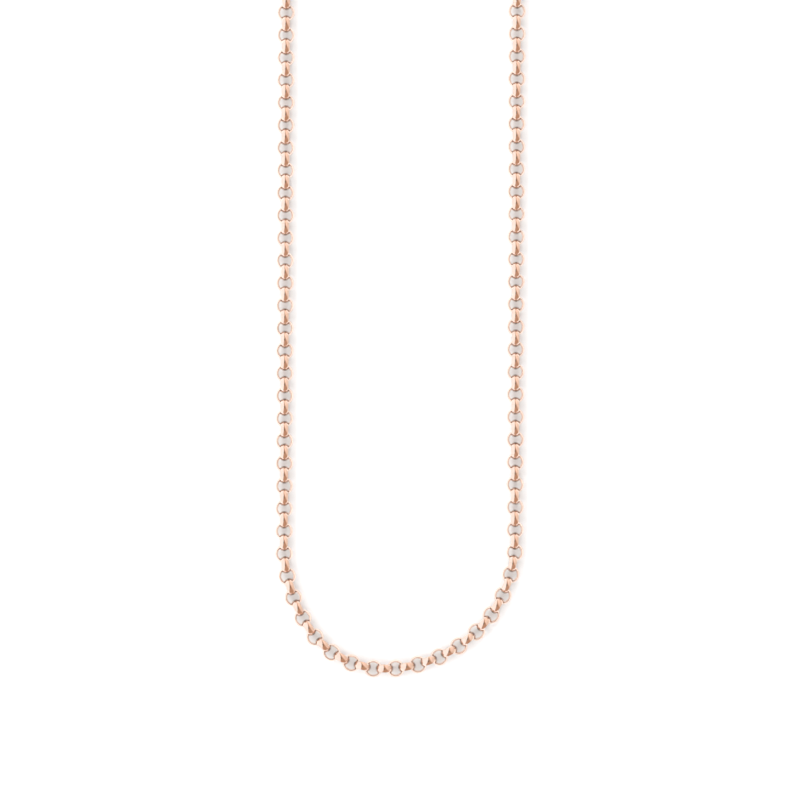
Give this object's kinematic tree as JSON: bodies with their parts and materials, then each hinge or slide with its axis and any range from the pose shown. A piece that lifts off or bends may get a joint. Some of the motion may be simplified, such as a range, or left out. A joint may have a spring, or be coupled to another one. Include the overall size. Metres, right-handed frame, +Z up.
{
  "type": "chain necklace",
  "caption": "Fine belcher chain necklace of alternating flat and upright crowned links, with a sprung lobster clasp and an end ring, laid out in a U.",
  "frame": {"origin": "middle of the laid-out outline, on the surface that the necklace lies on", "axes": "+Z up from the surface, +Y along the two strands from the bottom of the U to the clasp, +X from the clasp strand to the end-ring strand"},
  "size_m": [0.0386, 0.2178, 0.0026],
  "materials": {
    "rose_gold": "polished rose gold plate",
    "rivet_steel": "polished rivet",
    "spring_steel": "drawn spring steel"
  },
  "bodies": {
    "bottom_links": {"bottom_links": "rose_gold"},
    "left_links_1": {"left_links_1": "rose_gold"},
    "left_links_2": {"left_links_2": "rose_gold"},
    "left_links_3": {"left_links_3": "rose_gold"},
    "left_links_4": {"left_links_4": "rose_gold"},
    "left_links_5": {"left_links_5": "rose_gold"},
    "left_links_6": {"left_links_6": "rose_gold"},
    "left_links_7": {"left_links_7": "rose_gold"},
    "left_links_8": {"left_links_8": "rose_gold"},
    "left_links_9": {"left_links_9": "rose_gold"},
    "left_links_10": {"left_links_10": "rose_gold"},
    "left_links_11": {"left_links_11": "rose_gold"},
    "left_links_12": {"left_links_12": "rose_gold"},
    "left_links_13": {"left_links_13": "rose_gold"},
    "left_links_14": {"left_links_14": "rose_gold"},
    "left_links_15": {"left_links_15": "rose_gold"},
    "left_links_16": {"left_links_16": "rose_gold"},
    "left_links_17": {"left_links_17": "rose_gold"},
    "left_links_18": {"left_links_18": "rose_gold"},
    "left_links_19": {"left_links_19": "rose_gold"},
    "left_links_20": {"left_links_20": "rose_gold"},
    "left_links_21": {"left_links_21": "rose_gold"},
    "left_links_22": {"left_links_22": "rose_gold"},
    "left_links_23": {"left_links_23": "rose_gold"},
    "left_links_24": {"left_links_24": "rose_gold"},
    "left_links_25": {"left_links_25": "rose_gold"},
    "left_links_26": {"left_links_26": "rose_gold"},
    "right_links_1": {"right_links_1": "rose_gold"},
    "right_links_2": {"right_links_2": "rose_gold"},
    "right_links_3": {"right_links_3": "rose_gold"},
    "right_links_4": {"right_links_4": "rose_gold"},
    "right_links_5": {"right_links_5": "rose_gold"},
    "right_links_6": {"right_links_6": "rose_gold"},
    "right_links_7": {"right_links_7": "rose_gold"},
    "right_links_8": {"right_links_8": "rose_gold"},
    "right_links_9": {"right_links_9": "rose_gold"},
    "right_links_10": {"right_links_10": "rose_gold"},
    "right_links_11": {"right_links_11": "rose_gold"},
    "right_links_12": {"right_links_12": "rose_gold"},
    "right_links_13": {"right_links_13": "rose_gold"},
    "right_links_14": {"right_links_14": "rose_gold"},
    "right_links_15": {"right_links_15": "rose_gold"},
    "right_links_16": {"right_links_16": "rose_gold"},
    "right_links_17": {"right_links_17": "rose_gold"},
    "right_links_18": {"right_links_18": "rose_gold"},
    "right_links_19": {"right_links_19": "rose_gold"},
    "right_links_20": {"right_links_20": "rose_gold"},
    "right_links_21": {"right_links_21": "rose_gold"},
    "right_links_22": {"right_links_22": "rose_gold"},
    "right_links_23": {"right_links_23": "rose_gold"},
    "right_links_24": {"right_links_24": "rose_gold"},
    "right_links_25": {"right_links_25": "rose_gold"},
    "right_links_26": {"right_links_26": "rose_gold"},
    "clasp_jump_ring": {"clasp_jump_ring": "rose_gold"},
    "clasp": {"clasp_body": "rose_gold", "clasp_rivet": "rivet_steel", "clasp_spring": "spring_steel"},
    "clasp_lever": {"clasp_lever": "rose_gold"},
    "end_jump_ring": {"end_jump_ring": "rose_gold"},
    "end_ring": {"end_ring": "rose_gold"}
  },
  "joints": [
    {"name": "clasp_ring_turn", "type": "hinge", "parent": "left_links_26", "child": "clasp_jump_ring", "pos_m": [-0.01616, 0.09676, 0.00128], "axis": [0, 0, 1], "range_deg": [-60, 60]},
    {"name": "clasp_lift", "type": "hinge", "parent": "clasp_jump_ring", "child": "clasp", "pos_m": [-0.01616, 0.09846, 0.0013], "axis": [1, 0, 0], "range_deg": [-60, 60]},
    {"name": "lever_open", "type": "hinge", "parent": "clasp", "child": "clasp_lever", "pos_m": [-0.01746, 0.10391, 0.0012], "axis": [0, 0, -1], "range_deg": [0, 22], "stiffness_Nm_per_rad": 0.001, "springref_deg": -14.32},
    {"name": "end_ring_turn", "type": "hinge", "parent": "right_links_26", "child": "end_jump_ring", "pos_m": [0.01703, 0.09385, 0.00128], "axis": [0, 0, 1], "range_deg": [-60, 60]},
    {"name": "end_ring_lift", "type": "hinge", "parent": "end_jump_ring", "child": "end_ring", "pos_m": [0.01703, 0.09555, 0.0013], "axis": [1, 0, 0], "range_deg": [-60, 60]},
    {"name": "left_turn_1", "type": "hinge", "parent": "bottom_links", "child": "left_links_1", "pos_m": [-0.00641, -0.10685, 0.00128], "axis": [0, 0, 1], "range_deg": [-7, 70]},
    {"name": "left_lift_2", "type": "hinge", "parent": "left_links_1", "child": "left_links_2", "pos_m": [-0.01253, -0.10177, 0.00128], "axis": [0.8387, 0.5446, 0], "range_deg": [-70, 70]},
    {"name": "left_turn_3", "type": "hinge", "parent": "left_links_2", "child": "left_links_3", "pos_m": [-0.01569, -0.09436, 0.00128], "axis": [0, 0, -1], "range_deg": [-70, 8]},
    {"name": "left_lift_4", "type": "hinge", "parent": "left_links_3", "child": "left_links_4", "pos_m": [-0.01616, -0.0863, 0.00128], "axis": [-1, 0, 0], "range_deg": [-70, 70]},
    {"name": "left_turn_5", "type": "hinge", "parent": "left_links_4", "child": "left_links_5", "pos_m": [-0.01616, -0.0782, 0.00128], "axis": [0, 0, 1], "range_deg": [-8, 70]},
    {"name": "left_lift_6", "type": "hinge", "parent": "left_links_5", "child": "left_links_6", "pos_m": [-0.01616, -0.0701, 0.00128], "axis": [1, 0, 0], "range_deg": [-70, 70]},
    {"name": "left_turn_7", "type": "hinge", "parent": "left_links_6", "child": "left_links_7", "pos_m": [-0.01616, -0.062, 0.00128], "axis": [0, 0, -1], "range_deg": [-70, 9]},
    {"name": "left_lift_8", "type": "hinge", "parent": "left_links_7", "child": "left_links_8", "pos_m": [-0.01616, -0.0539, 0.00128], "axis": [-1, 0, 0], "range_deg": [-70, 70]},
    {"name": "left_turn_9", "type": "hinge", "parent": "left_links_8", "child": "left_links_9", "pos_m": [-0.01616, -0.0458, 0.00128], "axis": [0, 0, 1], "range_deg": [-10, 70]},
    {"name": "left_lift_10", "type": "hinge", "parent": "left_links_9", "child": "left_links_10", "pos_m": [-0.01616, -0.0377, 0.00128], "axis": [1, 0, 0], "range_deg": [-70, 70]},
    {"name": "left_turn_11", "type": "hinge", "parent": "left_links_10", "child": "left_links_11", "pos_m": [-0.01616, -0.0296, 0.00128], "axis": [0, 0, -1], "range_deg": [-70, 11]},
    {"name": "left_lift_12", "type": "hinge", "parent": "left_links_11", "child": "left_links_12", "pos_m": [-0.01616, -0.0215, 0.00128], "axis": [-1, 0, 0], "range_deg": [-70, 70]},
    {"name": "left_turn_13", "type": "hinge", "parent": "left_links_12", "child": "left_links_13", "pos_m": [-0.01616, -0.0134, 0.00128], "axis": [0, 0, 1], "range_deg": [-13, 70]},
    {"name": "left_lift_14", "type": "hinge", "parent": "left_links_13", "child": "left_links_14", "pos_m": [-0.01616, -0.0053, 0.00128], "axis": [1, 0, 0], "range_deg": [-70, 70]},
    {"name": "left_turn_15", "type": "hinge", "parent": "left_links_14", "child": "left_links_15", "pos_m": [-0.01616, 0.0028, 0.00128], "axis": [0, 0, -1], "range_deg": [-70, 15]},
    {"name": "left_lift_16", "type": "hinge", "parent": "left_links_15", "child": "left_links_16", "pos_m": [-0.01616, 0.0109, 0.00128], "axis": [-1, 0, 0], "range_deg": [-70, 70]},
    {"name": "left_turn_17", "type": "hinge", "parent": "left_links_16", "child": "left_links_17", "pos_m": [-0.01616, 0.019, 0.00128], "axis": [0, 0, 1], "range_deg": [-18, 70]},
    {"name": "left_lift_18", "type": "hinge", "parent": "left_links_17", "child": "left_links_18", "pos_m": [-0.01616, 0.0271, 0.00128], "axis": [1, 0, 0], "range_deg": [-70, 70]},
    {"name": "left_turn_19", "type": "hinge", "parent": "left_links_18", "child": "left_links_19", "pos_m": [-0.01616, 0.0352, 0.00128], "axis": [0, 0, -1], "range_deg": [-70, 22]},
    {"name": "left_lift_20", "type": "hinge", "parent": "left_links_19", "child": "left_links_20", "pos_m": [-0.01616, 0.0433, 0.00128], "axis": [-1, 0, 0], "range_deg": [-70, 70]},
    {"name": "left_turn_21", "type": "hinge", "parent": "left_links_20", "child": "left_links_21", "pos_m": [-0.01616, 0.0514, 0.00128], "axis": [0, 0, 1], "range_deg": [-29, 70]},
    {"name": "left_lift_22", "type": "hinge", "parent": "left_links_21", "child": "left_links_22", "pos_m": [-0.01616, 0.0595, 0.00128], "axis": [1, 0, 0], "range_deg": [-70, 70]},
    {"name": "left_turn_23", "type": "hinge", "parent": "left_links_22", "child": "left_links_23", "pos_m": [-0.01616, 0.0676, 0.00128], "axis": [0, 0, -1], "range_deg": [-70, 40]},
    {"name": "left_lift_24", "type": "hinge", "parent": "left_links_23", "child": "left_links_24", "pos_m": [-0.01616, 0.0757, 0.00128], "axis": [-1, 0, 0], "range_deg": [-70, 70]},
    {"name": "left_turn_25", "type": "hinge", "parent": "left_links_24", "child": "left_links_25", "pos_m": [-0.01616, 0.0838, 0.00128], "axis": [0, 0, 1], "range_deg": [-70, 70]},
    {"name": "left_lift_26", "type": "hinge", "parent": "left_links_25", "child": "left_links_26", "pos_m": [-0.01616, 0.0919, 0.00128], "axis": [1, 0, 0], "range_deg": [-70, 70]},
    {"name": "right_turn_1", "type": "hinge", "parent": "bottom_links", "child": "right_links_1", "pos_m": [0.00317, -0.10702, 0.00128], "axis": [0, 0, 1], "range_deg": [-70, 7]},
    {"name": "right_lift_2", "type": "hinge", "parent": "right_links_1", "child": "right_links_2", "pos_m": [0.0103, -0.10331, 0.00128], "axis": [-0.6293, 0.7771, 0], "range_deg": [-70, 70]},
    {"name": "right_turn_3", "type": "hinge", "parent": "right_links_2", "child": "right_links_3", "pos_m": [0.01532, -0.09705, 0.00128], "axis": [0, 0, -1], "range_deg": [-8, 70]},
    {"name": "right_lift_4", "type": "hinge", "parent": "right_links_3", "child": "right_links_4", "pos_m": [0.01703, -0.08921, 0.00128], "axis": [1, 0, 0], "range_deg": [-70, 70]},
    {"name": "right_turn_5", "type": "hinge", "parent": "right_links_4", "child": "right_links_5", "pos_m": [0.01703, -0.08111, 0.00128], "axis": [0, 0, 1], "range_deg": [-70, 9]},
    {"name": "right_lift_6", "type": "hinge", "parent": "right_links_5", "child": "right_links_6", "pos_m": [0.01703, -0.07301, 0.00128], "axis": [-1, 0, 0], "range_deg": [-70, 70]},
    {"name": "right_turn_7", "type": "hinge", "parent": "right_links_6", "child": "right_links_7", "pos_m": [0.01703, -0.06491, 0.00128], "axis": [0, 0, -1], "range_deg": [-10, 70]},
    {"name": "right_lift_8", "type": "hinge", "parent": "right_links_7", "child": "right_links_8", "pos_m": [0.01703, -0.05681, 0.00128], "axis": [1, 0, 0], "range_deg": [-70, 70]},
    {"name": "right_turn_9", "type": "hinge", "parent": "right_links_8", "child": "right_links_9", "pos_m": [0.01703, -0.04871, 0.00128], "axis": [0, 0, 1], "range_deg": [-70, 11]},
    {"name": "right_lift_10", "type": "hinge", "parent": "right_links_9", "child": "right_links_10", "pos_m": [0.01703, -0.04061, 0.00128], "axis": [-1, 0, 0], "range_deg": [-70, 70]},
    {"name": "right_turn_11", "type": "hinge", "parent": "right_links_10", "child": "right_links_11", "pos_m": [0.01703, -0.03251, 0.00128], "axis": [0, 0, -1], "range_deg": [-12, 70]},
    {"name": "right_lift_12", "type": "hinge", "parent": "right_links_11", "child": "right_links_12", "pos_m": [0.01703, -0.02441, 0.00128], "axis": [1, 0, 0], "range_deg": [-70, 70]},
    {"name": "right_turn_13", "type": "hinge", "parent": "right_links_12", "child": "right_links_13", "pos_m": [0.01703, -0.01631, 0.00128], "axis": [0, 0, 1], "range_deg": [-70, 14]},
    {"name": "right_lift_14", "type": "hinge", "parent": "right_links_13", "child": "right_links_14", "pos_m": [0.01703, -0.00821, 0.00128], "axis": [-1, 0, 0], "range_deg": [-70, 70]},
    {"name": "right_turn_15", "type": "hinge", "parent": "right_links_14", "child": "right_links_15", "pos_m": [0.01703, -0.00011, 0.00128], "axis": [0, 0, -1], "range_deg": [-16, 70]},
    {"name": "right_lift_16", "type": "hinge", "parent": "right_links_15", "child": "right_links_16", "pos_m": [0.01703, 0.00799, 0.00128], "axis": [1, 0, 0], "range_deg": [-70, 70]},
    {"name": "right_turn_17", "type": "hinge", "parent": "right_links_16", "child": "right_links_17", "pos_m": [0.01703, 0.01609, 0.00128], "axis": [0, 0, 1], "range_deg": [-70, 20]},
    {"name": "right_lift_18", "type": "hinge", "parent": "right_links_17", "child": "right_links_18", "pos_m": [0.01703, 0.02419, 0.00128], "axis": [-1, 0, 0], "range_deg": [-70, 70]},
    {"name": "right_turn_19", "type": "hinge", "parent": "right_links_18", "child": "right_links_19", "pos_m": [0.01703, 0.03229, 0.00128], "axis": [0, 0, -1], "range_deg": [-25, 70]},
    {"name": "right_lift_20", "type": "hinge", "parent": "right_links_19", "child": "right_links_20", "pos_m": [0.01703, 0.04039, 0.00128], "axis": [1, 0, 0], "range_deg": [-70, 70]},
    {"name": "right_turn_21", "type": "hinge", "parent": "right_links_20", "child": "right_links_21", "pos_m": [0.01703, 0.04849, 0.00128], "axis": [0, 0, 1], "range_deg": [-70, 35]},
    {"name": "right_lift_22", "type": "hinge", "parent": "right_links_21", "child": "right_links_22", "pos_m": [0.01703, 0.05659, 0.00128], "axis": [-1, 0, 0], "range_deg": [-70, 70]},
    {"name": "right_turn_23", "type": "hinge", "parent": "right_links_22", "child": "right_links_23", "pos_m": [0.01703, 0.06469, 0.00128], "axis": [0, 0, -1], "range_deg": [-57, 70]},
    {"name": "right_lift_24", "type": "hinge", "parent": "right_links_23", "child": "right_links_24", "pos_m": [0.01703, 0.07279, 0.00128], "axis": [1, 0, 0], "range_deg": [-70, 70]},
    {"name": "right_turn_25", "type": "hinge", "parent": "right_links_24", "child": "right_links_25", "pos_m": [0.01703, 0.08089, 0.00128], "axis": [0, 0, 1], "range_deg": [-70, 70]},
    {"name": "right_lift_26", "type": "hinge", "parent": "right_links_25", "child": "right_links_26", "pos_m": [0.01703, 0.08899, 0.00128], "axis": [-1, 0, 0], "range_deg": [-70, 70]}
  ]
}
